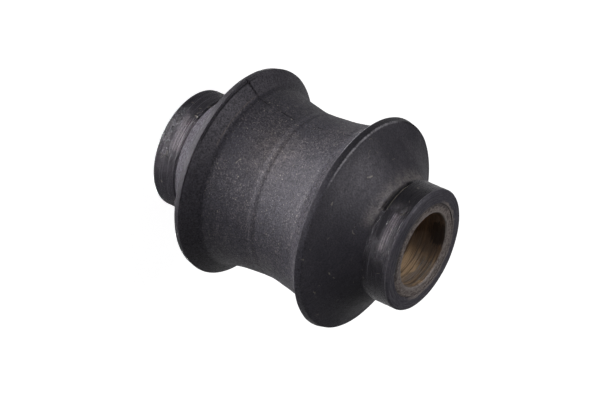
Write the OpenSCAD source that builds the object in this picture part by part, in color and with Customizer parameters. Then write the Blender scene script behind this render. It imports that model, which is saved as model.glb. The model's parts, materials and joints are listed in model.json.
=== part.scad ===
// Shock absorber eye bush: one moulded rubber bush, bonded to a plain steel sleeve.
// It stands on the end of its sleeve on z = 0, with its axis along +Z.

/* [Inner sleeve] */
// Overall length of the sleeve
sleeve_length = 54; // [48:0.5:70]
// Bore of the sleeve, which clears the bolt
bore_d = 14.2; // [10:0.1:16]
// Wall of the sleeve
sleeve_wall = 2; // [1:0.1:2.6]
// Chamfer on each end edge of the sleeve
sleeve_chamfer = 0.3; // [0.1:0.05:0.45]
// Height of the sleeve's end above the rubber's end
sleeve_proud = 0.2; // [0:0.05:1.2]

/* [Rubber hubs] */
// Diameter of the hub at each end
hub_d = 23.4; // [21.6:0.1:28]
// Length of the hub, from the rubber's end to the root of the flange
hub_length = 5.6; // [3.5:0.1:9]
// Rounding of the hub's outer end edge
hub_round = 0.4; // [0.2:0.1:1.2]
// Chamfer of the rubber round the end of the sleeve
hub_relief = 0.3; // [0.1:0.1:0.8]
// Width of the groove at the root of the hub
groove_w = 1; // [0.4:0.1:1.5]
// Depth of the groove at the root of the hub
groove_depth = 0.3; // [0.1:0.05:0.6]

/* [Flanges] */
// Diameter of the flange over its lip
flange_d = 41; // [38:0.5:46]
// Width of the lip round the flange
lip_w = 1.2; // [0.6:0.1:2]
// Fall of the lip's outer edge below its inner edge
lip_drop = 0.3; // [0:0.05:0.6]
// Rounding of the lip's two edges
lip_round = 0.2; // [0.05:0.05:0.25]
// Angle of the flange's inner face to the axis
flare_angle = 46; // [35:1:60]
// Depth of the hollow in the flange's outer face
flange_hollow = 0.7; // [0.1:0.1:1.5]

/* [Seat in the eye] */
// Diameter of the seat at its waist, half way along the bush
waist_d = 32; // [28:0.5:34]
// Width of the straight band at the waist
waist_band = 1.2; // [0.4:0.1:4]
// Diameter of the seat where it meets the flanges
seat_end_d = 35.1; // [34.5:0.1:37]
// Length of the seat between the flanges
seat_length = 20.6; // [16:0.2:24]
// Depth of the hollow in each half of the seat
seat_hollow = 0.25; // [0.05:0.05:0.4]
// Fillet between the seat and the flange
seat_fillet = 2; // [0.2:0.1:3]

/* [Hidden] */
$fn = 96;
fillet_steps = 5;
hollow_steps = 8;

bore_r = bore_d / 2;
sleeve_r = bore_r + sleeve_wall;
hub_r = hub_d / 2;
flange_r = flange_d / 2;
waist_r = waist_d / 2;
seat_end_r = seat_end_d / 2;
groove_r = hub_r - groove_depth;

// Heights above the middle of the bush
sleeve_end = sleeve_length / 2;
rubber_end = sleeve_end - sleeve_proud;
hub_root = rubber_end - hub_length;
seat_end = seat_length / 2;
lip_start = seat_end + (flange_r - seat_end_r) / tan(flare_angle);
lip_end = lip_start + lip_w;

rubber_colour = [0.10, 0.10, 0.11];
sleeve_colour = [0.62, 0.50, 0.32];

function unit(v) = v / norm(v);

// Points that round the corner b, between its neighbours a and c, by an arc of radius r
function fillet(a, b, c, r) =
    let (
        to_a = unit(a - b),
        to_c = unit(c - b),
        half_angle = acos(to_a * to_c) / 2,
        centre = b + unit(to_a + to_c) * r / sin(half_angle),
        first = b + to_a * r / tan(half_angle) - centre,
        last = b + to_c * r / tan(half_angle) - centre,
        start = atan2(first[1], first[0]),
        turn = atan2(cross(first, last), first * last)
    )
    [for (i = [0 : fillet_steps])
        let (angle = start + turn * i / fillet_steps)
        centre + r * [cos(angle), sin(angle)]];

// Points of the arc from a to b that dips to the given depth on the left of the line between them
function hollow(a, b, depth) =
    let (
        chord = norm(b - a),
        along = unit(b - a),
        left = [-along[1], along[0]],
        radius = (chord * chord / 4 + depth * depth) / (2 * depth),
        reach = asin(chord / 2 / radius)
    )
    [for (i = [0 : hollow_steps])
        let (angle = reach * (2 * i / hollow_steps - 1))
        (a + b) / 2 + along * radius * sin(angle) + left * (radius * cos(angle) - radius + depth)];

function but_last(points) = [for (i = [0 : len(points) - 2]) points[i]];
function but_first(points) = [for (i = [1 : len(points) - 1]) points[i]];
function mirrored(points) = [for (i = [len(points) - 1 : -1 : 0]) [points[i][0], -points[i][1]]];

// The rubber's section above the middle, as [radius, height], from the waist round to the sleeve
function rubber_half() =
    let (
        seat = hollow([waist_r, waist_band / 2], [seat_end_r, seat_end], seat_hollow),
        lip_inner = [flange_r, lip_start],
        lip_outer = [flange_r - lip_drop, lip_end],
        face = hollow(lip_outer, [groove_r, hub_root], flange_hollow),
        hub_edge = [hub_r, rubber_end],
        groove_edge = [hub_r, hub_root + groove_w],
        relief_edge = [sleeve_r + hub_relief, rubber_end]
    )
    concat(
        but_last(seat),
        fillet(seat[hollow_steps - 1], seat[hollow_steps], lip_inner, seat_fillet),
        fillet(seat[hollow_steps], lip_inner, lip_outer, lip_round),
        fillet(lip_inner, lip_outer, face[1], lip_round),
        but_first(face),
        [[groove_r, hub_root + groove_w / 2], groove_edge],
        fillet(groove_edge, hub_edge, relief_edge, hub_round),
        [relief_edge, [sleeve_r, rubber_end - hub_relief]]
    );

// Waist, two lipped flanges and two hubs, moulded as one piece round the sleeve
module rubber_bush() {
    color(rubber_colour)
        translate([0, 0, sleeve_end])
            rotate_extrude()
                polygon(concat(mirrored(rubber_half()), rubber_half()));
}

// Plain tube whose two end faces are clamped by the bolt
module inner_sleeve() {
    color(sleeve_colour)
        rotate_extrude()
            polygon([
                [bore_r, sleeve_chamfer],
                [bore_r + sleeve_chamfer, 0],
                [sleeve_r - sleeve_chamfer, 0],
                [sleeve_r, sleeve_chamfer],
                [sleeve_r, sleeve_length - sleeve_chamfer],
                [sleeve_r - sleeve_chamfer, sleeve_length],
                [bore_r + sleeve_chamfer, sleeve_length],
                [bore_r, sleeve_length - sleeve_chamfer]
            ]);
}

rubber_bush();
inner_sleeve();
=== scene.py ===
"""Looks of a shock absorber eye bush: a moulded rubber bush on a passivated steel sleeve."""

import json
import math
from functools import reduce
from types import SimpleNamespace

import bmesh
import bpy
from bpy.props import FloatProperty, FloatVectorProperty, IntProperty, PointerProperty
from mathutils import Matrix, Vector


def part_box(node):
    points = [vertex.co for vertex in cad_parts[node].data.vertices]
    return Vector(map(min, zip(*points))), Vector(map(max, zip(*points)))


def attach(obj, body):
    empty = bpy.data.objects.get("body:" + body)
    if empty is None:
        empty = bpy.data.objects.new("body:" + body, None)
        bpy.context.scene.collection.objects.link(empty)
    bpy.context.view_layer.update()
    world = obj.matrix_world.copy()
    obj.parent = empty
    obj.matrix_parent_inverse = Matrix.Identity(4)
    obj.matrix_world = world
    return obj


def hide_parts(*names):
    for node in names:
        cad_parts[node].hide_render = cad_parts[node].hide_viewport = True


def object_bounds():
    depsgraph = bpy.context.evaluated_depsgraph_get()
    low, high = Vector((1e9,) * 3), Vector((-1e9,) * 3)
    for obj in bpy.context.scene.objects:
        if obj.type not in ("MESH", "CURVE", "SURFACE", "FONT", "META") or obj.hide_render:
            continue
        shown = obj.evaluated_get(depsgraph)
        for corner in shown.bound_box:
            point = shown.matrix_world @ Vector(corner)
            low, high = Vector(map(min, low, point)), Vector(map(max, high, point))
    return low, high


bl_info = {
    "name": "Shock Absorber Eye Bush",
    "version": (1, 0, 0),
    "blender": (4, 5, 0),
    "location": "View3D > Sidebar > Bush",
    "description": "Models and dresses a rubber and steel eye bush around its packed solids",
    "category": "Object",
}

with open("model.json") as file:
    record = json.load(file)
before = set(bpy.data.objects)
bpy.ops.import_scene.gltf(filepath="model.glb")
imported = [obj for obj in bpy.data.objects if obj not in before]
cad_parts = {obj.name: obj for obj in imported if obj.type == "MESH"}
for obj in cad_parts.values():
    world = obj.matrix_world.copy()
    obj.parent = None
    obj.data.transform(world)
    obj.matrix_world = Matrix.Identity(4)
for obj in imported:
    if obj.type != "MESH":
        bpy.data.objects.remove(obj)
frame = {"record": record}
CAD_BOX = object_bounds()
MM = 0.001


def frame_mount(name):
    """The record's mount of that name."""
    return next(m for m in frame["record"]["mounts"] if m["name"] == name)


# Marks on the rubber. A place is a radius in mm, degrees round the axis from -Y, and a height in mm above the
# middle, and a mark runs from one place to another. Widths and reaches are in mm.
SCUFFS = (
    ((15.2, -30.0, 17.4), (14.9, -35.0, 17.7)),
    ((14.9, -35.0, 17.7), (14.5, -40.0, 18.1)),
    ((15.6, 42.0, 17.2), (14.8, 48.0, 17.8)),
    ((20.3, 30.0, 14.0), (19.6, 31.0, 14.7)),
    ((11.5, 50.0, 21.6), (11.7, 54.0, 21.9)),
    ((16.4, -5.0, -6.0), (16.5, -2.0, -6.4)),
)
SCUFF_WIDTH = 0.22
# Along these traces the parting line's crack is painted dark, as shade
SEAM_TRACES = (
    ((17.5, -48.1, -10.4), (16.5, -49.3, -6.8)),
    ((16.5, -49.3, -6.8), (16.1, -48.9, -2.6)),
    ((16.1, -50.2, 2.6), (16.5, -50.5, 7.0)),
    ((16.5, -50.5, 7.0), (17.6, -49.5, 10.4)),
)
SEAM_WIDTH = 0.26
SCAR = ((11.7, -18.0, 22.7), (11.7, 4.0, 23.0))
SCAR_WIDTH = 0.9
SMUDGE = (16.0, -20.0, -1.0)
SMUDGE_REACH = 8.5
# A painted shadow on the bore's wall: degrees round the axis and height above the middle
BORE_SHADOW = (-146.0, 25.7)
BORE_SHADOW_REACH = 3.8
# Stretches round the axis, from and to, in degrees from -Y
CREASE_STRETCH = (-47.0, -8.0)
BURR_STRETCH = (-50.0, -20.0)
SLOT_STRETCH = (-58.0, -20.0)
RELIEF_GAPS = ((40.0, 95.0), (-170.0, -130.0))
# Sides that a finish keeps to: the middle, the reach and the soft edge, in degrees round the axis from -Y
SIDES = {
    "trimmed_lip": (-62.0, 36.0, 20.0),
    # Part bloom, part painted light on these two sides
    "face_bloom_and_light": (-68.0, 28.0, 25.0),
    "inner_bloom_and_light": (-32.0, 24.0, 25.0),
    "clean_end": (-62.0, 40.0, 30.0),
    "far_end": (190.0, 60.0, 40.0),
    "near_end": (62.0, 35.0, 30.0),
    "crease": (-28.0, 18.0, 6.0),
    "dusty_root": (-48.0, 40.0, 14.0),
    "shaded_hub": (-40.0, 14.0, 10.0),
    "bloomed_hub": (52.0, 22.0, 12.0),
    # Sides where the hubs' rubbed bands are lightened as a painted highlight
    "upper_rub_highlight": (-2.0, 14.0, 7.0),
    "lower_rub_highlight": (-8.0, 12.0, 8.0),
    # Sides where the root's cut and the lines behind the lips are painted as shade
    "slot": (-41.0, 20.0, 6.0),
    "lower_lip_line": (-28.0, 18.0, 14.0),
    "upper_lip_line": (-52.0, 16.0, 12.0),
    "outer_edge": (-44.0, 18.0, 22.0),
    "inner_edge": (-46.0, 12.0, 12.0),
    "burr": (-37.0, 15.0, 5.0),
    "smear": (190.0, 75.0, 20.0),
    "lapped_end": (-25.0, 65.0, 20.0),
    "shaded_bore": (225.0, 35.0, 30.0),
    "scuffed_bore": (120.0, 30.0, 40.0),
}
# Softboxes: degrees round the axis from -Y, elevation in degrees, and size in metres
SOFTBOXES = (
    ("main", -7, -50, (0.9, 0.56)),
    ("front", 15, -5, (0.3, 0.3)),
    ("top", -80, 66, (0.3, 0.3)),
    ("back", 180, -62, (0.6, 0.6)),
    ("under", 0, -66, (0.6, 0.6)),
)
SOFTBOX_DISTANCE = 0.6
# Elevation in degrees below which a lamp shines through the table
LOW_LAMP = 10
# The spot lamp into the bore: degrees round the axis and elevation, distance and radius in metres, the cone's
# width at the bore in bore radii, and the soft share of the cone
BORE_LAMP_SIDE = (-44, 42)
BORE_LAMP_DISTANCE = 0.5
BORE_LAMP_RADIUS = 0.01
BORE_LAMP_CONE = 2.4
BORE_LAMP_BLEND = 0.4
# Points along each stretch of the sections that are turned
SEAT_STEPS = 20
FILLET_STEPS = 6
INNER_FACE_STEPS = 7
LIP_STEPS = 3
LIP_ROUND_STEPS = 2
FACE_STEPS = 22
HUB_STEPS = 18
HUB_ROUND_STEPS = 4
HUB_END_STEPS = 3
SLEEVE_END_STEPS = 7
BORE_STEPS = 40
# Level of the rubber's mirror sheen, the same all over
RUBBER_SHEEN = 0.465
# Smoothed edges turn less than this
SMOOTH_ANGLE = math.radians(35)
# Beat of the trimming marks along a hub, so that they don't repeat
TRIM_BEAT = 2.7
RUBBER_LOW, RUBBER_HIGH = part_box("rubber_bush")
SLEEVE_LOW, SLEEVE_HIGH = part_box("inner_sleeve")
MIDDLE = (SLEEVE_LOW.z + SLEEVE_HIGH.z) / 2
BORE = frame_mount("bore")["dims"]
EYE_SEAT = frame_mount("eye_seat")["dims"]


def length(name, description, default):
    """A length property, in metres."""
    return FloatProperty(name=name, description=description, default=default, unit="LENGTH", precision=5)


def colour(name, description, default):
    """A linear colour property."""
    return FloatVectorProperty(
        name=name, description=description, default=default, subtype="COLOR", size=3, min=0.0, max=1.0)


def angle(name, description, degrees):
    """An angle property, given in degrees and kept in radians."""
    return FloatProperty(
        name=name, description=description, default=math.radians(degrees), subtype="ANGLE")


def level(name, description, default):
    """A light level property."""
    return FloatProperty(name=name, description=description, default=default, min=0.0)


class RubberSizes(bpy.types.PropertyGroup):
    """Section of the rubber, as the moulding tool leaves it."""

    flange_d: length("Flange diameter", "Over the lips", RUBBER_HIGH.x - RUBBER_LOW.x)
    rubber_length: length("Rubber length", "Between the hubs' ends", RUBBER_HIGH.z - RUBBER_LOW.z)
    waist_d: length("Waist diameter", "At the ridge half way along", 2 * EYE_SEAT["r_mm"] * MM)
    seat_length: length("Seat length", "Between the flanges", EYE_SEAT["length_mm"] * MM)
    seat_end_d: length("Seat end diameter", "Where the seat meets the flanges", 35.1 * MM)
    seat_hollow: length("Seat hollow", "Dip of each half of the seat", 0.25 * MM)
    seat_fillet: length("Seat fillet", "Between the seat and the flange", 2.6 * MM)
    ridge_shift: length("Ridge shift", "Of the waist's ridge from the middle", -0.43 * MM)
    ridge_w: length("Ridge width", "Of the ridge round the waist", 1.2 * MM)
    ridge_h: length("Ridge height", "Of the ridge round the waist", 0.034 * MM)
    ridge_tilt: angle("Ridge tilt", "Of the ridge, about Y", 2.0)
    ridge_follow: length("Ridge follow", "How far along the seat follows the tilt", 5.0 * MM)
    lip_start: length("Lip start", "Inner edge of the lip, from the middle", 13.15 * MM)
    lip_w: length("Lip width", "Along the axis", 1.2 * MM)
    lip_drop: length("Lip drop", "Fall of the lip's outer edge", 0.3 * MM)
    lip_round: length("Lip rounding", "Of the lip's edges", 0.16 * MM)
    flange_hollow: length("Flange hollow", "Dip of the flange's outer face", 0.7 * MM)
    hub_d: length("Hub diameter", "At each end", 23.4 * MM)
    hub_length: length("Hub length", "From the rubber's end to the flange", 5.6 * MM)
    hub_round: length("Hub rounding", "Of the upper hub's end edge", 0.5 * MM)
    lower_round: length("Lower hub rounding", "Of the lower hub's end edge", 0.55 * MM)
    end_shift: length("End shift", "Of the rubber's ends along the axis, as trimmed", 0.14 * MM)
    hub_relief: length("Hub relief", "Gap round the sleeve's end", 0.3 * MM)
    groove_w: length("Groove width", "At the upper hub's root", 1.0 * MM)
    lower_groove_w: length("Lower groove width", "At the lower hub's root", 0.4 * MM)
    groove_depth: length("Groove depth", "At the upper hub's root", 0.3 * MM)
    lower_groove: length("Lower groove depth", "At the lower hub's root", 0.12 * MM)
    burr: length("Burr height", "Of the trimmed edges and the crease", 0.07 * MM)
    trim_depth: length("Trim mark depth", "Of the turned marks on the hubs", 0.05 * MM)
    seam_angle: angle("Seam angle", "Of the mould's parting line, round the axis from -Y", -48.0)
    seam_depth: length("Seam depth", "Of the crack along the flange's inner face", 0.55 * MM)
    undercut: length("Lip undercut", "Depth of the line behind the lower lip", 0.2 * MM)
    undercut_w: length("Undercut width", "Of the line behind the lower lip", 0.5 * MM)
    undercut_turn: angle("Undercut turn", "How far the line runs round from the seam", 76.0)
    wave: length("Wave", "Spacing of the mould's unevenness", 7.0 * MM)
    wave_h: length("Wave height", "Of the mould's unevenness", 0.1 * MM)
    segments: IntProperty(name="Segments", description="Round the rubber", default=432, min=96, max=720)


class SleeveSizes(bpy.types.PropertyGroup):
    """The steel sleeve through the rubber."""

    sleeve_length: length("Sleeve length", "End to end", SLEEVE_HIGH.z - SLEEVE_LOW.z)
    sleeve_d: length("Sleeve diameter", "Outside", 18.2 * MM)
    bore_d: length("Bore", "For the bolt", 2 * BORE["r_mm"] * MM)
    chamfer: length("Chamfer", "Of the end edges", 0.3 * MM)
    unevenness: length("End unevenness", "Of the sawn end faces", 0.16 * MM)
    saw_pitch: length("Saw pitch", "Spacing of the end faces' unevenness", 0.9 * MM)
    segments: IntProperty(name="Segments", description="Round the sleeve", default=240, min=48, max=480)


class BushColours(bpy.types.PropertyGroup):
    """Colours of the finishes, linear."""

    rubber: colour("Rubber", "Clean moulded rubber", (0.030, 0.0288, 0.0368))
    # Also where bloom stands in for painted light on the seat and the faces
    bloom: colour("Bloom", "Rubber greyed by its own bloom and fine dust", (0.071, 0.067, 0.077))
    # Also the near black of the painted shadow in the bore
    trimmed: colour("Trimmed rubber", "Turned hubs and trimmed lips", (0.009, 0.0085, 0.0115))
    sheen_tint: colour("Sheen tint", "Of what the rubber mirrors", (0.985, 0.95, 1.0))
    # Near black, painted as shade in the cut at the upper hub's root, the parting line and the lines behind
    # the lips
    slot: colour("Slot", "The cut at the upper hub's root", (0.003, 0.003, 0.004))
    # Part wear, part painted glint along the lips' edges
    worn_edge_and_glint: colour("Worn edge", "Edges of the lips", (0.34, 0.33, 0.35))
    # Rubbed bands on the hubs, light enough to serve as the painted highlight across each hub's front
    rubbed_highlight: colour("Rubbed", "Rubbed bands on the hubs", (0.24, 0.21, 0.225))
    dust: colour("Dust", "Specks of dust", (0.50, 0.46, 0.37))
    pale_dust: colour("Pale dust", "Along the upper hub's root", (0.20, 0.183, 0.172))
    brown_dust: colour("Brown dust", "Smudges round the waist", (0.15, 0.122, 0.10))
    sleeve_end: colour("Sleeve end", "Sawn end faces", (0.205, 0.177, 0.162))
    end_stain: colour("End stain", "Stains on the sawn end faces", (0.06, 0.047, 0.042))
    ochre: colour("Ochre", "Passivated bore, clean", (0.62, 0.43, 0.26))
    # Also the painted shade on the bore's shaded side
    brown_stain_and_shade: colour("Brown", "Passivated bore, stained", (0.125, 0.084, 0.058))
    scuffed: colour("Scuffed steel", "Bright scratches in the bore", (0.34, 0.315, 0.29))


class BushStage(bpy.types.PropertyGroup):
    """Camera, lamps and floor."""

    camera_distance: length("Camera distance", "From the middle of the bush", 398.1 * MM)
    camera_elevation: angle("Camera elevation", "Above the bush's middle plane", 28.73)
    camera_roll: angle("Camera roll", "About the line of sight", 114.1)
    aim_right: length("Aim right", "Picture's centre from the bush's middle, to the right", -0.67 * MM)
    aim_up: length("Aim up", "Picture's centre from the bush's middle, upwards", -0.58 * MM)
    lens: FloatProperty(name="Lens", description="Focal length", default=129.1, unit="CAMERA")
    floor_size: length("Floor size", "Across", 4.0)
    far_half: length("Far half", "Where the far half of the table starts, behind the bush", 0.06)
    table_colour: colour("Table colour", "Of the table in plain light", (0.55, 0.55, 0.55))
    table_glow: level("Table glow", "Of the white table, to the camera", 0.95)
    table_mirrored: level("Mirrored glow", "Of the table's far half, in reflections", 0.18)
    table_near: level("Near glow", "Of the table's near half, in reflections", 0.06)
    main_light: level("Main light", "Of the wide softbox under the table", 1.36)
    front_light: level("Front light", "Of the softbox at table height", 0.12)
    top_light: level("Top light", "Of the upper softbox", 0.37)
    back_light: level("Back light", "Of the softbox under the table's far side", 0.25)
    under_light: level("Under light", "Of the steep softbox under the table", 0.45)
    bore_light: level("Bore light", "Of the narrow lamp into the bore", 0.6)
    world_light: level("World light", "All round", 0.09)
    light_colour: colour("Light colour", "Of the softboxes", (0.98, 0.965, 1.0))


def deselect_all():
    """Leave edit mode and select nothing."""
    if bpy.context.object and bpy.context.object.mode != "OBJECT":
        bpy.ops.object.mode_set(mode="OBJECT")
    bpy.ops.object.select_all(action="DESELECT")


def start_piece(name):
    """A new piece in edit mode that holds one vertex at the origin."""
    deselect_all()
    bpy.ops.mesh.primitive_plane_add(size=MM)
    piece = bpy.context.object
    piece.name = name
    piece.data.name = name
    bpy.ops.object.mode_set(mode="EDIT")
    bpy.ops.mesh.select_all(action="SELECT")
    bpy.ops.mesh.merge(type="CENTER")
    return piece


def turn_section(section, segments):
    """Draw the closed section, as (radius, height) points, with the start vertex and spin it about Z."""
    points = [Vector((r, 0.0, z)) for r, z in section]
    bpy.ops.transform.translate(value=points[0])
    for here, there in zip(points, points[1:]):
        bpy.ops.mesh.extrude_region_move(TRANSFORM_OT_translate={"value": there - here})
    bpy.ops.mesh.select_all(action="SELECT")
    mesh = bmesh.from_edit_mesh(bpy.context.object.data)
    ends = [v for v in mesh.verts if len(v.link_edges) == 1]
    bpy.ops.mesh.select_all(action="DESELECT")
    for v in ends:
        v.select_set(True)
    bpy.ops.mesh.edge_face_add()
    bpy.ops.mesh.select_all(action="SELECT")
    bpy.ops.mesh.spin(steps=segments, angle=math.tau, center=(0, 0, 0), axis=(0, 0, 1))
    bpy.ops.mesh.select_all(action="SELECT")
    bpy.ops.mesh.remove_doubles(threshold=0.001 * MM)
    bpy.ops.mesh.normals_make_consistent(inside=False)


def select_where(test):
    """Select the vertices whose (radius, angle from -Y, height) pass the test."""
    mesh = bmesh.from_edit_mesh(bpy.context.object.data)
    bpy.ops.mesh.select_mode(type="VERT")
    bpy.ops.mesh.select_all(action="DESELECT")
    found = [v for v in mesh.verts if test(math.hypot(v.co.x, v.co.y), math.atan2(v.co.x, -v.co.y), v.co.z)]
    if not found:
        raise RuntimeError("nothing to shape was found on " + bpy.context.object.name)
    for v in found:
        v.select_set(True)
    mesh.select_flush_mode()


def within(turn, stretch):
    """Whether an angle lies in a stretch that is given in degrees."""
    first, last = stretch
    return math.radians(first) < turn < math.radians(last)


def sink_where(test, depth):
    """Push the vertices that pass the test into the surface by depth."""
    select_where(test)
    bpy.ops.transform.shrink_fatten(value=-depth)


def uneven(piece, name, scale, strength, mid_level=0.5, group=""):
    """Displace the piece by a cloud texture, for the small unevenness of a real surface."""
    clouds = bpy.data.textures.new(name, "CLOUDS")
    clouds.noise_scale = scale
    clouds.noise_depth = 2
    shape = piece.modifiers.new(name, "DISPLACE")
    shape.texture = clouds
    shape.texture_coords = "LOCAL"
    shape.mid_level = mid_level
    shape.strength = strength
    shape.vertex_group = group
    bpy.ops.object.modifier_apply(modifier=shape.name)


def finish_piece(piece, material, node):
    """Smooth and paint a piece, which stands for its CAD node."""
    if bpy.context.object.mode != "OBJECT":
        bpy.ops.object.mode_set(mode="OBJECT")
    bpy.ops.object.shade_smooth_by_angle(angle=SMOOTH_ANGLE)
    piece.data.materials.clear()
    piece.data.materials.append(material)
    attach(piece, "root")
    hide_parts(node)


def arc_points(a, b, depth, steps):
    """Points from a to b on an arc that dips to depth on the left of the line between them."""
    a, b = Vector(a), Vector(b)
    chord = (b - a).length
    along = (b - a) / chord
    left = Vector((-along.y, along.x))
    radius = (chord * chord / 4 + depth * depth) / (2 * depth)
    reach = math.asin(chord / 2 / radius)
    points = []
    for i in range(steps + 1):
        turn = reach * (2 * i / steps - 1)
        points.append((a + b) / 2 + along * radius * math.sin(turn)
                      + left * (radius * math.cos(turn) - radius + depth))
    return points


def corner_points(a, b, c, radius, steps):
    """Points that round the corner b, between its neighbours a and c."""
    a, b, c = Vector(a), Vector(b), Vector(c)
    to_a, to_c = (a - b).normalized(), (c - b).normalized()
    half = to_a.angle(to_c) / 2
    centre = b + (to_a + to_c).normalized() * radius / math.sin(half)
    first = b + to_a * radius / math.tan(half) - centre
    last = b + to_c * radius / math.tan(half) - centre
    start = math.atan2(first.y, first.x)
    turn = math.atan2(first.x * last.y - first.y * last.x, first.dot(last))
    turns = [start + turn * i / steps for i in range(steps + 1)]
    return [centre + radius * Vector((math.cos(t), math.sin(t))) for t in turns]


def line_points(a, b, steps):
    """Points after a, up to and with b, at even steps."""
    a, b = Vector(a), Vector(b)
    return [a.lerp(b, (i + 1) / steps) for i in range(steps)]


def seat_points(s, ridge):
    """The seat, its fillet and the lip's inner corner in one half, as (radius, height) from the middle.

    ridge is the height of the ridge's near edge in this half."""
    seat_end = (s.seat_end_d / 2, s.seat_length / 2)
    seat = arc_points((s.waist_d / 2, ridge), seat_end, s.seat_hollow, SEAT_STEPS)
    lip_inner = Vector((s.flange_d / 2, s.lip_start))
    return seat, corner_points(seat[-2], seat[-1], lip_inner, s.seat_fillet, FILLET_STEPS), lip_inner


def rubber_half(s, ridge, side):
    """One half of the rubber's section, from the waist's ridge to the sleeve.

    The points are (radius, height from the middle). side is 1 above the middle and -1 below."""
    flange_r, hub_r = s.flange_d / 2, s.hub_d / 2
    sleeve_r = bpy.context.scene.bush_sleeve.sleeve_d / 2
    root = s.rubber_length / 2 - s.hub_length
    end = s.rubber_length / 2 + s.end_shift * side
    groove_w = s.groove_w if side > 0 else s.lower_groove_w
    groove_r = hub_r - (s.groove_depth if side > 0 else s.lower_groove)
    seat, fillet, lip_inner = seat_points(s, ridge)
    lip_outer = Vector((flange_r - s.lip_drop, s.lip_start + s.lip_w))
    face = arc_points(lip_outer, (groove_r, root), s.flange_hollow, FACE_STEPS)
    groove_edge = Vector((hub_r, root + groove_w))
    hub_edge = Vector((hub_r, end))
    relief_edge = Vector((sleeve_r + s.hub_relief, end))
    lip_in_round = corner_points(seat[-1], lip_inner, lip_outer, s.lip_round, LIP_ROUND_STEPS)
    lip_out_round = corner_points(lip_inner, lip_outer, face[1], s.lip_round, LIP_ROUND_STEPS)
    line_start = lip_in_round[0] + (seat[-1] - lip_inner).normalized() * s.undercut_w
    end_round = s.hub_round if side > 0 else s.lower_round
    hub_round = corner_points(groove_edge, hub_edge, relief_edge, end_round, HUB_ROUND_STEPS)
    hub = line_points(groove_edge, hub_round[0], HUB_STEPS)
    for i, point in enumerate(hub[:-1]):
        point.x -= s.trim_depth * (0.5 + 0.5 * math.sin(TRIM_BEAT * i * i + side))
    return (seat[:-2] + fillet + line_points(fillet[-1], line_start, INNER_FACE_STEPS)
            + line_points(line_start, lip_in_round[0], 2)[:-1] + lip_in_round
            + line_points(lip_in_round[-1], lip_out_round[0], LIP_STEPS)[:-1] + lip_out_round + face[1:]
            + line_points(face[-1], (groove_r, root + groove_w * 0.8), 2) + [groove_edge] + hub
            + hub_round[1:] + line_points(hub_round[-1], relief_edge, HUB_END_STEPS)
            + [Vector((sleeve_r, end - s.hub_relief))])


def rubber_section(s):
    """The closed section of the rubber, from its lower end round the outside to its upper end."""
    upper = rubber_half(s, s.ridge_shift + s.ridge_w / 2, 1)
    lower = rubber_half(s, -s.ridge_shift + s.ridge_w / 2, -1)
    ridge_r = s.waist_d / 2 + s.ridge_h
    top = s.ridge_w * 0.42
    ridge = [(ridge_r, s.ridge_shift - top), (ridge_r, s.ridge_shift), (ridge_r, s.ridge_shift + top)]
    outline = [(p.x, -p.y) for p in reversed(lower)] + ridge + [(p.x, p.y) for p in upper]
    return [(r, MIDDLE + h) for r, h in outline]


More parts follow.
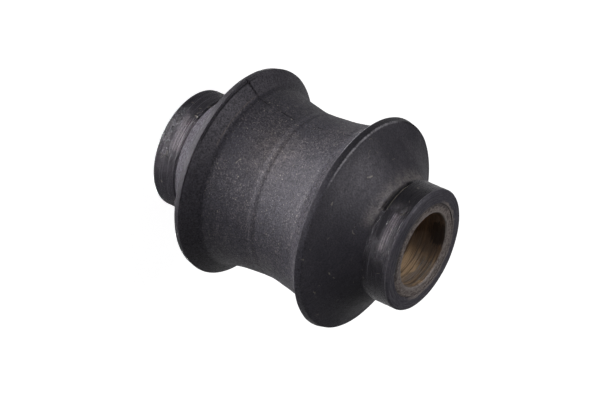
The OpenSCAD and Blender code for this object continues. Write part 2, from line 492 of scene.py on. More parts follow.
class BUSH_OT_rubber(bpy.types.Operator):
    """Model the moulded rubber: waist, lipped flanges, hubs, parting line and lip undercut"""

    bl_idname = "bush.rubber"
    bl_label = "Rubber bush"

    def execute(self, context):
        s = context.scene.bush_rubber
        piece = start_piece("rubber_bush_moulding")
        turn_section(rubber_section(s), s.segments)
        self.tilt_ridge(s)
        self.cut_seam(s)
        self.cut_lip_line(s)
        self.raise_burrs(s)
        self.cut_root_slot(s)
        self.close_relief(s)
        bpy.ops.object.mode_set(mode="OBJECT")
        uneven(piece, "mould_unevenness", s.wave, s.wave_h)
        finish_piece(piece, rubber_material(context.scene.bush_colours), "rubber_bush")
        return {"FINISHED"}

    def tilt_ridge(self, s):
        """Turn the waist's ridge a little out of square, with the seat round it following."""
        reach = s.ridge_w * 0.6
        select_where(lambda r, turn, z: r > s.hub_d / 2 and abs(z - MIDDLE - s.ridge_shift) < reach)
        bpy.ops.transform.rotate(
            value=s.ridge_tilt, orient_axis="Y", center_override=(0, 0, MIDDLE + s.ridge_shift),
            use_proportional_edit=True, proportional_edit_falloff="SMOOTH", proportional_size=s.ridge_follow)

    def cut_seam(self, s):
        """Sink the parting line: a crack across the flanges' inner faces and a trace along the seat."""
        step = math.tau / s.segments
        seat_end = s.seat_length / 2
        # From and to, as heights above the middle, then the shift in segments and the share of the depth
        traces = (
            (-s.lip_start - 0.1 * MM, -seat_end - 1.2 * MM, 0, 1.0),
            (-seat_end - 1.2 * MM, -seat_end + 0.5 * MM, 0, 0.6),
            (-seat_end + 0.5 * MM, -4 * MM, 0, 0.22),
            (2 * MM, seat_end - 0.5 * MM, -3, 0.12),
        )
        for low, high, shift, share in traces:

            def on_seam(r, turn, z):
                seen = abs(turn - s.seam_angle - shift * step) < step / 2
                opposite = abs(turn - s.seam_angle - math.pi) < step / 2
                return (seen or opposite) and low < z - MIDDLE < high and r > s.hub_d / 2

            sink_where(on_seam, s.seam_depth * share)

    def cut_lip_line(self, s):
        """Sink the line behind the lower lip, from the seam round to where it fades out."""
        seat_end = s.seat_length / 2
        line_r = s.flange_d / 2 - s.undercut_w * 0.56
        for share in (1.0, 0.6):

            def on_line(r, turn, z):
                below = -s.lip_start < z - MIDDLE < -seat_end
                around = 0 < turn - s.seam_angle < s.undercut_turn * share
                return below and around and abs(r - line_r) < s.undercut_w * 0.22

            sink_where(on_line, s.undercut / 2)

    def raise_burrs(self, s):
        """Raise the crease at the lower flange's fillet and the burr at the upper hub's root."""
        crease = seat_points(s, -s.ridge_shift + s.ridge_w / 2)[1][-1]
        burr = Vector((s.hub_d / 2, s.rubber_length / 2 - s.hub_length + s.groove_w))
        for point, side, stretch in ((crease, -1, CREASE_STRETCH), (burr, 1, BURR_STRETCH)):

            def on_mark(r, turn, z):
                away = math.hypot(r - point.x, (z - MIDDLE) * side - point.y)
                return within(turn, stretch) and away < s.burr

            sink_where(on_mark, -s.burr)

    def cut_root_slot(self, s):
        """Deepen the groove at the upper hub's root on the seam's side, where it was cut into."""
        root = s.rubber_length / 2 - s.hub_length
        floor_r = s.hub_d / 2 - s.groove_depth

        def in_slot(r, turn, z):
            across = root - s.burr < z - MIDDLE < root + s.groove_w * 0.9
            return across and abs(r - floor_r) < s.burr and within(turn, SLOT_STRETCH)

        sink_where(in_slot, s.groove_depth)

    def close_relief(self, s):
        """Bring the rubber tight against the sleeve's ends, but for two short gaps."""
        sleeve_r = bpy.context.scene.bush_sleeve.sleeve_d / 2
        high = s.rubber_length / 2 - s.end_shift - 2 * s.hub_relief

        def tight(r, turn, z):
            in_gap = any(within(turn, gap) for gap in RELIEF_GAPS)
            return r < sleeve_r + s.hub_relief / 2 and abs(z - MIDDLE) > high and not in_gap

        select_where(tight)
        bpy.ops.transform.resize(value=(1, 1, 1 + 0.9 * s.hub_relief / high), center_override=(0, 0, MIDDLE))


class BUSH_OT_sleeve(bpy.types.Operator):
    """Model the steel sleeve with its sawn, uneven end faces"""

    bl_idname = "bush.sleeve"
    bl_label = "Inner sleeve"

    def execute(self, context):
        s = context.scene.bush_sleeve
        bore_r, outer_r, low, high = s.bore_d / 2, s.sleeve_d / 2, SLEEVE_LOW.z, SLEEVE_HIGH.z
        face_start = Vector((bore_r + s.chamfer, high))
        upper = [face_start] + line_points(face_start, (outer_r - s.chamfer, high), SLEEVE_END_STEPS)
        lower = [Vector((p.x, low + high - p.y)) for p in upper]
        wall = [Vector((outer_r, low + s.chamfer)), Vector((outer_r, high - s.chamfer))]
        bore_top = Vector((bore_r, high - s.chamfer))
        bore = [bore_top] + line_points(bore_top, (bore_r, low + s.chamfer), BORE_STEPS)
        piece = start_piece("inner_sleeve_tube")
        turn_section(lower + wall + upper[::-1] + bore, s.segments)
        end_h = high - MIDDLE - s.chamfer * 1.1
        select_where(lambda r, turn, z: abs(z - MIDDLE) > end_h and r < outer_r - s.chamfer / 2)
        bpy.ops.object.vertex_group_assign_new()
        ends = piece.vertex_groups.active
        bpy.ops.object.mode_set(mode="OBJECT")
        uneven(piece, "sawn_ends", s.saw_pitch, s.unevenness, mid_level=1.0, group=ends.name)
        finish_piece(piece, sleeve_material(context.scene.bush_colours), "inner_sleeve")
        return {"FINISHED"}


def new_material(name):
    """A node material: itself, its nodes, its Principled shader, and the surface's place in millimetres."""
    material = bpy.data.materials.new(name)
    material.use_nodes = True
    n = Finish(material.node_tree)
    place = n.add("ShaderNodeTexCoord").outputs["Object"]
    return material, n, material.node_tree.nodes["Principled BSDF"], n.vector("SCALE", place, scale=1 / MM)


class Finish:
    """A node tree that is being built, with the few kinds of node that the finishes need."""

    def __init__(self, tree):
        self.tree = tree

    def add(self, kind, settings=(), **inputs):
        """Add a node, set its own settings, and set or link its inputs by name."""
        made = self.tree.nodes.new(kind)
        for name, value in dict(settings).items():
            setattr(made, name, value)
        for name, value in inputs.items():
            self.connect(value, made.inputs[name.replace("_", " ")])
        return made

    def connect(self, value, socket):
        """Link a socket, or set a plain value."""
        if isinstance(value, bpy.types.NodeSocket):
            self.tree.links.new(value, socket)
        elif socket.type == "RGBA":
            socket.default_value = (*value, 1.0)[:4]
        else:
            socket.default_value = value

    def group(self, name, **inputs):
        """Place a shared group, which is built when it is first asked for."""
        shared = bpy.data.node_groups.get(name) or GROUPS[name](name)
        return self.add("ShaderNodeGroup", {"node_tree": shared}, **inputs).outputs

    def maths(self, operation, a, b=0.0, clamp=False):
        """The result of a Math node."""
        made = self.add("ShaderNodeMath", {"operation": operation, "use_clamp": clamp})
        self.connect(a, made.inputs[0])
        self.connect(b, made.inputs[1])
        return made.outputs[0]

    def times(self, *values):
        """The product of several values."""
        return reduce(lambda a, b: self.maths("MULTIPLY", a, b), values)

    def largest(self, *values):
        """The largest of several values."""
        return reduce(lambda a, b: self.maths("MAXIMUM", a, b), values)

    def vector(self, operation, a, b=None, scale=None):
        """The result of a Vector Math node."""
        made = self.add("ShaderNodeVectorMath", {"operation": operation})
        self.connect(a, made.inputs[0])
        if b is not None:
            self.connect(b, made.inputs[1])
        if scale is not None:
            self.connect(scale, made.inputs["Scale"])
        return made.outputs["Value" if operation in ("LENGTH", "DOT_PRODUCT") else "Vector"]

    def rise(self, value, low, high, bottom=0.0, top=1.0):
        """A smooth rise from bottom to top as value goes from low to high."""
        return self.add("ShaderNodeMapRange", {"interpolation_type": "SMOOTHSTEP"}, Value=value,
                        From_Min=low, From_Max=high, To_Min=bottom, To_Max=top).outputs["Result"]

    def colour(self, factor, a, b):
        """Colour a turned to colour b by factor."""
        return self.add("ShaderNodeMix", {"data_type": "RGBA"}, Factor=factor, A=a, B=b).outputs["Result"]

    def value(self, factor, a, b):
        """Value a turned to value b by factor."""
        return self.add("ShaderNodeMix", Factor=factor, A=a, B=b).outputs["Result"]

    def noise(self, place, scale, detail=3.0, roughness=0.55):
        """A noise value from 0 to 1, in features per millimetre."""
        return self.add("ShaderNodeTexNoise", Vector=place, Scale=scale, Detail=detail,
                        Roughness=roughness).outputs["Fac"]

    def wander(self, place, scale):
        """A noise vector, for bending what is drawn at the place."""
        return self.add("ShaderNodeTexNoise", Vector=place, Scale=scale, Detail=2.0).outputs["Color"]

    def patch(self, place, centre, reach):
        """A soft round patch about a point, in millimetres."""
        return self.rise(self.vector("LENGTH", self.vector("SUBTRACT", place, centre)), reach, 0.0)

    def near(self, value, centre, reach):
        """1 where the value is at the centre, and 0 from a distance of reach on."""
        return self.rise(self.maths("ABSOLUTE", self.maths("SUBTRACT", value, centre)), reach, 0.0)

    def sector(self, direction, side):
        """1 on one of the named sides of the bush, and 0 beyond its soft edge."""
        centre, reach, soft = (math.radians(degrees) for degrees in SIDES[side])
        towards = self.vector("DOT_PRODUCT", direction, (math.sin(centre), -math.cos(centre), 0.0))
        return self.rise(towards, math.cos(reach + soft), math.cos(reach))

    def stroke(self, place, first, last, width):
        """A thin mark from the first place on the surface to the last."""
        first, last = Vector(on_surface(*first)), Vector(on_surface(*last))
        along = last - first
        start = self.vector("SUBTRACT", place, first)
        share = self.vector("DOT_PRODUCT", start, along / along.length_squared)
        foot = self.vector("SCALE", along, scale=self.maths("MULTIPLY", share, 1.0, clamp=True))
        return self.rise(self.vector("LENGTH", self.vector("SUBTRACT", start, foot)), width, 0.0)

    def strokes(self, place, marks, width):
        """Several thin marks."""
        return self.largest(*(self.stroke(place, first, last, width) for first, last in marks))


def on_surface(radius, turn_degrees, height):
    """The point in mm at a radius, an angle round the axis from -Y, and a height above the middle."""
    turn = math.radians(turn_degrees)
    return (radius * math.sin(turn), -radius * math.cos(turn), MIDDLE / MM + height)


def new_group(name, inputs, outputs):
    """A new shader node group: its nodes, what goes into it and what comes out.

    An input with no default is a vector, and one with a default is a value."""
    tree = bpy.data.node_groups.new(name, "ShaderNodeTree")
    for socket, default in inputs.items():
        if default is None:
            tree.interface.new_socket(socket, in_out="INPUT", socket_type="NodeSocketVector")
        else:
            made = tree.interface.new_socket(socket, in_out="INPUT", socket_type="NodeSocketFloat")
            made.default_value = default
    for socket, kind in outputs.items():
        tree.interface.new_socket(socket, in_out="OUTPUT", socket_type=kind)
    n = Finish(tree)
    return n, n.add("NodeGroupInput").outputs, n.add("NodeGroupOutput").inputs


def turned_place_group(name):
    """Radius, height and the unrolled direction of a place on a turned piece."""
    n, given, out = new_group(name, {"Place": None}, {
        "Radius": "NodeSocketFloat", "Height": "NodeSocketFloat", "Direction": "NodeSocketVector"})
    flat = n.vector("MULTIPLY", given["Place"], (1.0, 1.0, 0.0))
    n.connect(n.vector("LENGTH", flat), out["Radius"])
    n.connect(n.add("ShaderNodeSeparateXYZ", Vector=given["Place"]).outputs["Z"], out["Height"])
    n.connect(n.vector("NORMALIZE", flat), out["Direction"])
    return n.tree


def turned_streaks_group(name):
    """Streaks that run round the axis, as a cutting tool or a trimming blade leaves them."""
    n, given, out = new_group(name, {"Direction": None, "Along": 0.0, "Turns": 2.0, "Fineness": 4.0},
                              {"Streaks": "NodeSocketFloat"})
    around = n.vector("SCALE", given["Direction"], scale=given["Turns"])
    lift = n.add("ShaderNodeCombineXYZ", Z=n.times(given["Along"], given["Fineness"])).outputs["Vector"]
    streaks = n.noise(n.vector("ADD", around, lift), 1.0, detail=4.0, roughness=0.65)
    n.connect(streaks, out["Streaks"])
    return n.tree


def dust_specks_group(name):
    """Scattered light specks, in a share of the cells of a given spacing."""
    n, given, out = new_group(name, {"Place": None, "Per mm": 1.0, "Size": 0.2, "Share": 0.4},
                              {"Specks": "NodeSocketFloat"})
    cells = n.add("ShaderNodeTexVoronoi", Vector=given["Place"], Scale=given["Per mm"]).outputs
    chance = n.add("ShaderNodeSeparateColor", Color=cells["Color"]).outputs["Red"]
    speck = n.rise(cells["Distance"], given["Size"], 0.0)
    n.connect(n.times(speck, n.maths("LESS_THAN", chance, given["Share"])), out["Specks"])
    return n.tree


def hairline_group(name):
    """Short bent hairlines, as fibres and light scuffs leave on rubber."""
    n, given, out = new_group(name, {"Place": None, "Per mm": 0.2, "Width": 0.02, "Cover": 0.62},
                              {"Lines": "NodeSocketFloat"})
    bent = n.vector("ADD", given["Place"], n.vector("SCALE", n.wander(given["Place"], 0.35), scale=4.0))
    cells = n.add("ShaderNodeTexVoronoi", {"feature": "DISTANCE_TO_EDGE"}, Vector=bent, Scale=given["Per mm"])
    line = n.rise(cells.outputs["Distance"], given["Width"], 0.0)
    broken = n.maths("GREATER_THAN", n.noise(given["Place"], 0.5, detail=2.0), given["Cover"])
    n.connect(n.times(line, broken), out["Lines"])
    return n.tree


GROUPS = {
    "Turned place": turned_place_group,
    "Turned streaks": turned_streaks_group,
    "Dust specks": dust_specks_group,
    "Hairlines": hairline_group,
}


def rubber_places(n, place):
    """Masks of the rubber's seat, faces, lips and hubs, with the sizes in mm that bound them."""
    s = bpy.context.scene.bush_rubber
    turned = n.group("Turned place", Place=place)
    at = SimpleNamespace(
        place=place, radius=turned["Radius"], height=turned["Height"], direction=turned["Direction"],
        seat_end=s.seat_length / 2 / MM, lip_start=s.lip_start / MM, lip_end=(s.lip_start + s.lip_w) / MM,
        hub_root=(s.rubber_length / 2 - s.hub_length) / MM, hub_end=s.rubber_length / 2 / MM,
        groove_w=s.groove_w / MM, hub_r=s.hub_d / 2 / MM, flange_r=s.flange_d / 2 / MM,
        sleeve_r=bpy.context.scene.bush_sleeve.sleeve_d / 2 / MM)
    above = n.maths("SUBTRACT", at.height, MIDDLE / MM)
    at.out = n.maths("ABSOLUTE", above)
    at.upper = n.rise(above, -1.5, 1.5)
    at.lower = n.rise(above, 1.0, -1.0)
    at.hub = n.rise(at.out, at.hub_root - 0.1, at.hub_root + 0.1)
    at.side = n.times(at.hub, n.rise(at.radius, at.hub_r - 0.5, at.hub_r - 0.3),
                      n.rise(at.out, at.hub_end - 0.2, at.hub_end - 0.5))
    at.end = n.times(at.hub, n.rise(at.side, 1.0, 0.0))
    inner = n.rise(at.out, at.lip_start + 0.05, at.lip_start - 0.1)
    at.upper_inner = n.times(at.upper, inner, n.rise(at.out, at.seat_end - 0.5, at.seat_end + 0.3))
    at.lower_inner = n.times(at.lower, inner, n.rise(at.out, at.seat_end, at.seat_end + 0.6))
    at.seat = n.rise(at.out, at.seat_end + 0.6, at.seat_end - 0.6)
    at.dusty = n.largest(at.seat, at.upper_inner)
    at.face = n.rise(at.out, at.lip_end - 0.1, at.lip_end + 0.3)
    off_hub = n.rise(at.out, at.hub_root + 0.1, at.hub_root - 0.1)
    at.grazed = n.largest(at.upper_inner, n.times(at.face, at.lower, off_hub))
    at.rim = n.rise(at.radius, at.flange_r - 0.75, at.flange_r - 0.5)
    at.lip = n.times(at.rim, n.rise(at.out, at.lip_start - 0.1, at.lip_start),
                     n.rise(at.out, at.lip_end + 0.2, at.lip_end + 0.1),
                     n.largest(at.lower, n.sector(at.direction, "trimmed_lip"), 0.2))
    at.shaded = n.times(at.upper, n.sector(at.direction, "shaded_hub"))
    return at


def rubber_textures(n, at):
    """The noises, streaks, specks and lines that the rubber's finish is made of."""
    along_axis = {"Direction": at.direction, "Along": at.height}
    across_end = {"Direction": at.direction, "Along": at.radius}
    return SimpleNamespace(
        cloud=n.noise(at.place, 0.16, detail=4.0),
        mottle=n.noise(at.place, 0.9, detail=4.0, roughness=0.6),
        coarse=n.noise(at.place, 2.0, detail=2.0, roughness=0.7),
        grain=n.noise(at.place, 3.1, detail=2.0, roughness=0.75),
        streaks=n.group("Turned streaks", **along_axis, Turns=1.6, Fineness=2.6)["Streaks"],
        scores=n.group("Turned streaks", **along_axis, Turns=0.9, Fineness=6.5)["Streaks"],
        rings=n.group("Turned streaks", **across_end, Turns=3.2, Fineness=3.0)["Streaks"],
        specks=n.group("Dust specks", Place=at.place, Per_mm=1.5, Size=0.24, Share=0.45)["Specks"],
        small_specks=n.group("Dust specks", Place=at.place, Per_mm=3.0, Size=0.4, Share=0.75)["Specks"],
        lines=n.group("Hairlines", Place=at.place, Per_mm=0.16, Width=0.016, Cover=0.63)["Lines"])


def rubber_bloom(n, at, t):
    """How far bloom greys the rubber: faint on the seat, streaked on the faces, ringed on the ends, and
    lighter as painted light on the seat's upper half and on the faces' lit sides.
    """
    # Part bloom, part painted light: the seat's upper half is greyed lighter
    film = n.times(at.seat, at.upper, n.rise(t.cloud, 0.3, 0.7, 0.0, 0.25))
    # Part bloom, part painted light: the flanges' outer faces are greyed lighter on their lit side
    seam_side = n.rise(n.sector(at.direction, "face_bloom_and_light"), 0.0, 1.0, 0.75, 1.9)
    film = n.maths("ADD", film, n.times(at.face, n.rise(t.cloud, 0.3, 0.7, 0.1, 0.5), seam_side))
    film = n.largest(film, n.times(at.face, at.lower, n.rise(t.scores, 0.35, 0.65, 0.7, 1.35)))
    # Part bloom, part painted light: the lower flange's inner face is greyed lighter on its lit side
    inner = n.rise(n.sector(at.direction, "inner_bloom_and_light"), 0.0, 1.0, 0.5, 0.95)
    film = n.times(n.largest(film, n.times(at.lower_inner, inner)), n.rise(t.mottle, 0.3, 0.7, 0.7, 1.3))
    ringed = n.times(n.rise(t.rings, 0.38, 0.62),
                     n.rise(at.radius, at.sleeve_r + 0.7, at.hub_r - 0.4, 0.4, 0.9),
                     n.rise(n.sector(at.direction, "clean_end"), 0.0, 1.0, 1.0, 0.45))
    ringed = n.maths("ADD", ringed, n.times(n.sector(at.direction, "far_end"), 0.4))
    ringed = n.maths("ADD", ringed, n.times(n.sector(at.direction, "near_end"), 0.25))
    return n.largest(film, n.times(at.hub, ringed))


def moulded_colour(n, c, at, t):
    """Moulded rubber under its bloom, brown dust and pale dust."""
    moulded = n.colour(rubber_bloom(n, at, t), c.rubber, c.bloom)
    smudge = n.patch(at.place, on_surface(*SMUDGE), SMUDGE_REACH)
    smudge = n.times(smudge, n.rise(t.mottle, 0.3, 0.7, 0.4, 1.0), 0.3)
    flecks = n.times(at.dusty, n.rise(t.grain, 0.5, 0.75), n.rise(t.cloud, 0.35, 0.6), 0.35)
    crease = n.times(n.near(at.out, at.seat_end + 0.5, 0.14), n.sector(at.direction, "crease"), at.lower,
                     n.rise(t.mottle, 0.3, 0.55), 0.6)
    moulded = n.colour(n.largest(smudge, flecks, crease), moulded, c.brown_dust)
    root_dust = n.times(n.sector(at.direction, "dusty_root"), at.upper,
                        n.rise(at.radius, at.hub_r + 1.7, at.hub_r + 0.1),
                        n.rise(at.out, at.hub_root + 0.15, at.hub_root),
                        n.rise(t.mottle, 0.35, 0.6, 0.25, 1.0), 0.6)
    return n.colour(root_dust, moulded, c.pale_dust)


def hub_wear(n, at, t):
    """The worn streaks round the hubs, fewer on the upper hub's shaded side as painted shade."""
    worn = n.rise(n.maths("ADD", n.times(t.streaks, 0.4), n.times(t.scores, 0.6)), 0.5, 0.64)
    return n.times(worn, n.rise(at.shaded, 0.0, 1.0, 0.65, 0.2))


def hub_scar(n, at, t):
    """The ragged scar across the upper hub."""
    scar = n.stroke(at.place, *SCAR, SCAR_WIDTH)
    return n.times(n.rise(n.maths("ADD", scar, n.times(t.mottle, 0.4)), 0.45, 0.6), at.side)


def trimmed_colour(n, c, at, t, base, worn, scar):
    """The trimmed hubs and lips, with the hubs' streaks, scar, and rubbed bands lightened further as a
    painted highlight.
    """
    base = n.colour(n.times(n.largest(at.side, at.lip), 0.85), base, c.trimmed)
    base = n.colour(n.times(worn, at.side), base, c.bloom)
    base = n.colour(n.times(at.lower, at.side, n.sector(at.direction, "bloomed_hub"), 0.35), base, c.bloom)
    # Painted highlight: rubbed bands brightened across the front of each hub
    upper_rub_highlight = n.times(at.upper, n.near(at.out, at.hub_root + 3.3, 1.2), n.sector(at.direction, "upper_rub_highlight"))
    lower_rub_highlight = n.times(at.lower, n.near(at.out, at.hub_root + 1.2, 2.0), n.sector(at.direction, "lower_rub_highlight"))
    rubbed_highlight = n.times(n.largest(upper_rub_highlight, lower_rub_highlight), n.rise(t.scores, 0.42, 0.58), at.side, 0.8)
    base = n.colour(rubbed_highlight, base, c.rubbed_highlight)
    return n.colour(n.times(scar, 0.8), base, c.trimmed)


def dark_marks(n, at, t):
    """Painted shade in the cut at the upper hub's root, along the parting line's crack and in the lines
    behind the lips.
    """
    slot = n.times(n.near(at.out, at.hub_root + 0.5, 0.9), at.upper, n.sector(at.direction, "slot"),
                   n.rise(at.radius, at.hub_r + 0.05, at.hub_r - 0.1))
    seam = n.times(n.strokes(at.place, SEAM_TRACES, SEAM_WIDTH), n.rise(t.mottle, 0.35, 0.5, 0.45, 1.0))
    behind_lip = n.largest(n.times(at.lower, n.sector(at.direction, "lower_lip_line")),
                           n.times(at.upper, n.sector(at.direction, "upper_lip_line")))
    lip_line = n.times(n.near(at.out, at.lip_start - 0.32, 0.24),
                       n.rise(at.radius, at.flange_r - 1.28, at.flange_r - 0.88), behind_lip, 0.9)
    return n.largest(slot, seam, lip_line)


def edge_colour(n, c, at, t, base):
    """Worn edges of the lips and the hubs, with the lips' edges lightened further as a painted glint, and the
    burr at the upper hub's root.
    """
    # Painted glint, part wear: the upper lip's outer and inner edges are lightened on the side where they
    # catch the light
    outer = n.times(n.near(at.out, at.lip_end + 0.05, 0.24), n.rise(t.mottle, 0.25, 0.5),
                    n.largest(n.times(at.upper, n.sector(at.direction, "outer_edge")), 0.04))
    inner = n.times(n.near(at.out, at.lip_start - 0.02, 0.14), at.upper, n.sector(at.direction, "inner_edge"))
    base = n.colour(n.times(at.rim, n.largest(outer, inner), 0.75), base, c.worn_edge_and_glint)
    hub_edge = n.times(n.near(at.out, at.hub_end - 0.35, 0.2),
                       n.rise(at.radius, at.hub_r - 0.3, at.hub_r - 0.1),
                       n.rise(t.scores, 0.45, 0.6), 0.35)
    base = n.colour(hub_edge, base, c.worn_edge_and_glint)
    burr = n.times(n.near(at.out, at.hub_root + at.groove_w, 0.14), at.upper, n.sector(at.direction, "burr"))
    return n.colour(n.times(burr, n.rise(t.mottle, 0.3, 0.5), 0.45), base, c.dust)


def rubber_shades(n, at, t):
    """How the colour rises and falls with the grain, the patches and the streaks drawn round the seat, and
    falls as painted shade on the upper hub's shaded side.
    """
    grainy = n.value(at.face, n.rise(t.grain, 0.28, 0.72, 0.35, 1.75), n.rise(t.grain, 0.28, 0.72, 0.65, 1.4))
    patchy = n.value(at.grazed, 1.0, n.rise(t.coarse, 0.35, 0.65, 0.3, 1.8))
    # Painted shade: the upper hub's side is darkened on its shaded side
    shaded = n.rise(n.times(at.shaded, at.side), 0.0, 1.0, 1.0, 0.6)
    drawn = n.times(n.rise(t.scores, 0.3, 0.7, 0.8, 1.2), n.rise(t.mottle, 0.3, 0.7, 0.88, 1.12))
    return n.times(grainy, patchy, shaded, n.value(at.seat, 1.0, drawn))


def steel_smear(n, at, t):
    """A smear of the sleeve's colour on the rubber, round the far side of the sleeve's ends."""
    ragged = n.maths("ADD", at.radius, n.rise(t.mottle, 0.3, 0.7, -0.25, 0.25))
    return n.times(at.hub, n.rise(ragged, at.sleeve_r + 0.65, at.sleeve_r + 0.4),
                   n.sector(at.direction, "smear"), n.rise(t.grain, 0.3, 0.6, 0.4, 1.0), 0.85)


def rubber_dust(n, at, t):
    """Specks of dust, thickest on the seat, with hairlines and scuffs on the faces."""
    dust = n.largest(n.times(t.specks, 0.75), n.times(t.small_specks, 0.36))
    dust = n.times(dust, n.rise(at.dusty, 0.0, 1.0, 0.2, 1.0), n.rise(at.hub, 0.0, 1.0, 1.0, 0.3),
                   n.rise(t.mottle, 0.42, 0.6, 0.1, 1.0))
    bend = n.vector("SUBTRACT", n.wander(at.place, 0.7), (0.5, 0.5, 0.5))
    scuffs = n.strokes(n.vector("ADD", at.place, bend), SCUFFS, SCUFF_WIDTH)
    return n.largest(dust, n.times(t.lines, at.face, 0.3), n.times(scuffs, 0.5))


def rubber_roughness(n, at, t, worn, scar, dark):
    """Matte on the moulded faces, polished on the hubs, and dull in the scar and the dark marks."""
    matte = n.times(n.rise(t.grain, 0.3, 0.7, 0.54, 0.38), n.rise(t.mottle, 0.3, 0.7, 1.08, 0.94))
    matte = n.value(at.grazed, matte, n.rise(t.coarse, 0.35, 0.65, 0.75, 0.5))
    matte = n.value(at.end, matte, n.rise(t.rings, 0.4, 0.6, 0.75, 0.35))
    matte = n.value(at.lip, matte, 0.42)
    polished = n.value(at.shaded, n.rise(worn, 0.0, 0.65, 0.17, 0.32), 0.18)
    rough = n.value(scar, n.value(at.side, matte, polished), 0.75)
    return n.value(dark, rough, 0.95)


def rubber_relief(n, at, t):
    """Pores in the moulded faces, finer on the flanges, and turned marks on the hubs."""
    pores = n.maths("ADD", n.times(t.grain, 1.2), n.times(t.mottle, 0.6))
    pores = n.times(pores, n.rise(at.face, 0.0, 1.0, 1.0, 0.55))
    marks = n.maths("ADD", n.times(t.streaks, 1.2), n.times(t.scores, 1.2))
    return n.value(at.side, pores, marks)


def rubber_material(c):
    """Black moulded rubber: dusty seat, bloomed faces, trimmed lips, and streaked, glossier hubs, with
    painted light and shade laid over them.
    """
    material, n, shader, place = new_material("moulded_rubber")
    at = rubber_places(n, place)
    t = rubber_textures(n, at)
    worn, scar, dark = hub_wear(n, at, t), hub_scar(n, at, t), dark_marks(n, at, t)
    base = trimmed_colour(n, c, at, t, moulded_colour(n, c, at, t), worn, scar)
    # The dark marks are painted shade in the root's cut, the parting line and behind the lips
    base = edge_colour(n, c, at, t, n.colour(dark, base, c.slot))
    base = n.vector("SCALE", base, scale=rubber_shades(n, at, t))
    base = n.colour(steel_smear(n, at, t), base, c.sleeve_end)
    n.connect(n.colour(rubber_dust(n, at, t), base, c.dust), shader.inputs["Base Color"])
    n.connect(rubber_roughness(n, at, t, worn, scar, dark), shader.inputs["Roughness"])
    n.connect(RUBBER_SHEEN, shader.inputs["Specular IOR Level"])
    n.connect(c.sheen_tint, shader.inputs["Specular Tint"])
    bump = n.add("ShaderNodeBump", Height=rubber_relief(n, at, t), Strength=0.8, Distance=0.1 * MM)
    n.connect(bump.outputs["Normal"], shader.inputs["Normal"])
    return material


def bore_colour(n, c, place, direction, bore_r, t):
    """Ochre passivation in the bore, with brown stains and streaks, bright scratches, painted shade on one
    side and a painted shadow near the mouth.
    """
    bore = n.colour(n.rise(t.stain, 0.42, 0.6, 0.0, 0.7), c.ochre, c.brown_stain_and_shade)
    bore = n.colour(n.rise(t.streaks, 0.47, 0.56, 0.0, 0.85), bore, c.brown_stain_and_shade)
    bore = n.colour(n.rise(t.scratches, 0.46, 0.36, 0.0, 0.85), bore, c.end_stain)
    # Painted shade: the bore turns brown on its shaded side
    bore = n.colour(n.times(n.sector(direction, "shaded_bore"), 0.85), bore, c.brown_stain_and_shade)
    bright = n.maths("ADD", n.times(t.scratches, 0.7), n.times(t.stain, 0.3))
    low_side = n.rise(n.sector(direction, "scuffed_bore"), 0.0, 1.0, 0.35, 1.0)
    bore = n.colour(n.times(n.rise(bright, 0.5, 0.6, 0.0, 0.85), low_side), bore, c.scuffed)
    # Painted shadow: a ragged near-black patch on the wall near the bore's mouth
    torn = n.times(n.maths("SUBTRACT", t.scratches, 0.5), 2.2)
    shadow_patch = n.maths("ADD", n.patch(place, on_surface(bore_r, *BORE_SHADOW), BORE_SHADOW_REACH), torn)
    return n.colour(n.times(n.rise(shadow_patch, 0.26, 0.34), 0.75), bore, c.trimmed)


def end_colour(n, c, radius, direction, s, t):
    """Sawn steel at the sleeve's ends: gritty stains, a bright brim, and rubber lapped over one side."""
    brim_r, outer_r = (s.bore_d / 2 + s.chamfer) / MM, s.sleeve_d / 2 / MM
    ends = n.colour(n.rise(t.grit, 0.4, 0.62, 0.0, 0.9), c.sleeve_end, c.end_stain)
    brim = n.times(n.near(radius, brim_r, 0.5), n.rise(t.stain, 0.42, 0.55), n.rise(t.grit, 0.45, 0.6), 0.8)
    ends = n.colour(brim, ends, c.scuffed)
    ragged = n.maths("ADD", radius, n.rise(t.grit, 0.3, 0.7, -0.25, 0.25))
    lap = n.times(n.sector(direction, "lapped_end"), n.rise(ragged, outer_r - 0.75, outer_r - 0.55), 0.6)
    return n.colour(lap, ends, c.trimmed)


def sleeve_material(c):
    """Passivated steel: ochre and brown in the turned bore, with painted shade and a painted shadow there,
    dull and rough on the sawn ends.
    """
    s = bpy.context.scene.bush_sleeve
    material, n, shader, place = new_material("passivated_steel")
    turned = n.group("Turned place", Place=place)
    radius, direction = turned["Radius"], turned["Direction"]
    bore_r, chamfer = s.bore_d / 2 / MM, s.chamfer / MM
    along_axis = {"Direction": direction, "Along": turned["Height"]}
    t = SimpleNamespace(
        streaks=n.group("Turned streaks", **along_axis, Turns=0.6, Fineness=2.6)["Streaks"],
        scratches=n.group("Turned streaks", **along_axis, Turns=1.1, Fineness=5.5)["Streaks"],
        stain=n.noise(place, 0.22, detail=5.0),
        grit=n.noise(place, 2.2, detail=5.0, roughness=0.75))
    on_end = n.rise(radius, bore_r + 0.1 * chamfer, bore_r + 0.6 * chamfer)
    bore, ends = bore_colour(n, c, place, direction, bore_r, t), end_colour(n, c, radius, direction, s, t)
    n.connect(n.colour(on_end, bore, ends), shader.inputs["Base Color"])
    rough = n.value(on_end, n.rise(t.scratches, 0.3, 0.7, 0.4, 0.55), n.rise(t.grit, 0.3, 0.7, 0.55, 0.75))
    n.connect(rough, shader.inputs["Roughness"])
    n.connect(n.rise(on_end, 0.0, 1.0, 0.35, 0.1), shader.inputs["Metallic"])
    height = n.maths("ADD", n.times(t.scratches, 0.8), n.times(t.grit, on_end))
    bump = n.add("ShaderNodeBump", Height=height, Strength=0.5, Distance=0.12 * MM)
    n.connect(bump.outputs["Normal"], shader.inputs["Normal"])
    return material


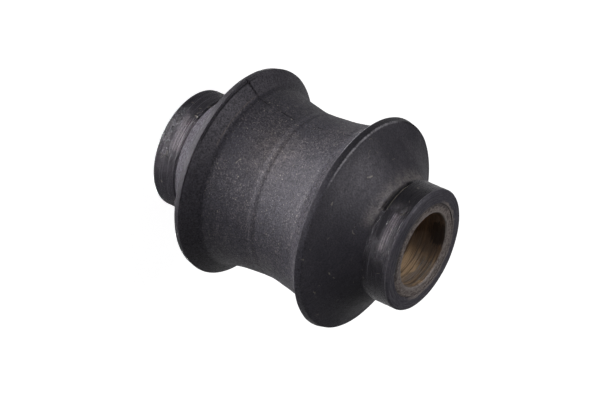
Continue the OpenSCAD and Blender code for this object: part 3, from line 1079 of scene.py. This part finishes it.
def table_material(stage):
    """A white light table: it glows to the camera, less in reflections, and else is plain diffuse."""
    material = bpy.data.materials.new("white_table")
    material.use_nodes = True
    n = Finish(material.node_tree)
    n.tree.nodes.clear()
    path = n.add("ShaderNodeLightPath").outputs
    across = n.add("ShaderNodeSeparateXYZ", Vector=n.add("ShaderNodeTexCoord").outputs["Object"]).outputs["Y"]
    far = n.rise(across, 0.0, stage.far_half, stage.table_near, stage.table_mirrored)
    mirrored = n.times(n.largest(path["Is Glossy Ray"], path["Is Transmission Ray"]), far)
    glow = n.largest(n.times(path["Is Camera Ray"], stage.table_glow), mirrored)
    table = n.add("ShaderNodeBsdfDiffuse", Color=stage.table_colour)
    lit = n.add("ShaderNodeEmission", Color=(1.0, 1.0, 1.0), Strength=glow)
    both = n.add("ShaderNodeAddShader")
    n.connect(table.outputs[0], both.inputs[0])
    n.connect(lit.outputs[0], both.inputs[1])
    n.add("ShaderNodeOutputMaterial", Surface=both.outputs[0])
    return material


def add_lamp(kind, name, centre, turn_degrees, elevation_degrees, distance):
    """A lamp that looks at the centre from an angle round the axis, from -Y, and an elevation."""
    deselect_all()
    turn, elevation = math.radians(turn_degrees), math.radians(elevation_degrees)
    flat = math.cos(elevation)
    away = Vector((math.sin(turn) * flat, -math.cos(turn) * flat, math.sin(elevation)))
    bpy.ops.object.light_add(type=kind, location=Vector((0, 0, centre)) + away * distance)
    lamp = bpy.context.object
    lamp.name = name
    lamp.rotation_euler = away.to_track_quat("Z", "Y").to_euler()
    return lamp.data


def add_softbox(name, turn_degrees, elevation_degrees, brightness, size):
    """An area lamp that looks at the bush.

    At a brightness of 1 a white surface that faces the lamp renders white. A lamp that stands low or below
    the table's top shines through it, so it is met by shadow rays alone."""
    light = add_lamp("AREA", name, MIDDLE, turn_degrees, elevation_degrees, SOFTBOX_DISTANCE)
    light.shape = "RECTANGLE"
    light.size, light.size_y = size
    light.energy = brightness * (math.pi * SOFTBOX_DISTANCE) ** 2
    light.color = bpy.context.scene.bush_stage.light_colour
    if elevation_degrees < LOW_LAMP:
        light.cycles.use_multiple_importance_sampling = False


def add_bore_lamp(name, turn_degrees, elevation_degrees, brightness):
    """A spot lamp that fills the mouth of the bore and little else.

    For the same brightness it takes four times the power of a softbox."""
    light = add_lamp("SPOT", name, SLEEVE_HIGH.z, turn_degrees, elevation_degrees, BORE_LAMP_DISTANCE)
    light.spot_size = BORE_LAMP_CONE * BORE["r_mm"] * MM / BORE_LAMP_DISTANCE
    light.spot_blend = BORE_LAMP_BLEND
    light.shadow_soft_size = BORE_LAMP_RADIUS
    light.energy = 4 * brightness * (math.pi * BORE_LAMP_DISTANCE) ** 2


class BUSH_OT_stage(bpy.types.Operator):
    """Set the camera, the lamps, the world and the white table"""

    bl_idname = "bush.stage"
    bl_label = "Stage"

    def execute(self, context):
        stage = context.scene.bush_stage
        self.place_camera(context, stage)
        deselect_all()
        bpy.ops.mesh.primitive_plane_add(size=stage.floor_size, location=(0, 0, CAD_BOX[0].z))
        floor = context.object
        floor.name = "white_table"
        floor.data.materials.append(table_material(stage))
        floor.visible_shadow = False
        for name, turn, elevation, size in SOFTBOXES:
            add_softbox(name + "_softbox", turn, elevation, getattr(stage, name + "_light"), size)
        add_bore_lamp("bore_lamp", *BORE_LAMP_SIDE, stage.bore_light)
        world = bpy.data.worlds.new("studio")
        world.use_nodes = True
        world.node_tree.nodes["Background"].inputs["Strength"].default_value = stage.world_light
        world.node_tree.nodes["Background"].inputs["Color"].default_value = (1.0, 1.0, 1.0, 1.0)
        context.scene.world = world
        context.scene.view_settings.view_transform = "Standard"
        return {"FINISHED"}

    def place_camera(self, context, stage):
        """Look at the middle of the bush from the photograph's side, with its roll and framing."""
        elevation = stage.camera_elevation
        back = Vector((0, -math.cos(elevation), math.sin(elevation)))
        turn = back.to_track_quat("Z", "Y").to_matrix() @ Matrix.Rotation(stage.camera_roll, 3, "Z")
        aim = Vector((0, 0, MIDDLE)) + turn @ Vector((stage.aim_right, stage.aim_up, 0))
        bpy.ops.object.camera_add(location=aim + back * stage.camera_distance, rotation=turn.to_euler())
        camera = context.object
        camera.name = "photo_camera"
        camera.data.lens = stage.lens
        camera.data.sensor_width = 36.0
        camera.data.clip_start = 0.01
        camera.data.clip_end = 20.0
        context.scene.camera = camera


class BUSH_PT_panel(bpy.types.Panel):
    """Sidebar panel with the bush's sizes and operators"""

    bl_label = "Eye bush"
    bl_idname = "BUSH_PT_panel"
    bl_space_type = "VIEW_3D"
    bl_region_type = "UI"
    bl_category = "Bush"

    def draw(self, context):
        for operator in OPERATORS:
            self.layout.operator(operator.bl_idname)
        for name in SETTINGS:
            settings = getattr(context.scene, name)
            box = self.layout.box()
            for prop in settings.__annotations__:
                box.prop(settings, prop)


OPERATORS = (BUSH_OT_rubber, BUSH_OT_sleeve, BUSH_OT_stage)
SETTINGS = {
    "bush_rubber": RubberSizes,
    "bush_sleeve": SleeveSizes,
    "bush_colours": BushColours,
    "bush_stage": BushStage,
}


def register():
    for cls in (*SETTINGS.values(), *OPERATORS, BUSH_PT_panel):
        bpy.utils.register_class(cls)
    for name, cls in SETTINGS.items():
        setattr(bpy.types.Scene, name, PointerProperty(type=cls))


def unregister():
    for name in SETTINGS:
        delattr(bpy.types.Scene, name)
    for cls in reversed((*SETTINGS.values(), *OPERATORS, BUSH_PT_panel)):
        bpy.utils.unregister_class(cls)


def main():
    register()
    bpy.ops.bush.rubber()
    bpy.ops.bush.sleeve()
    bpy.ops.bush.stage()


if __name__ == "__main__":
    main()
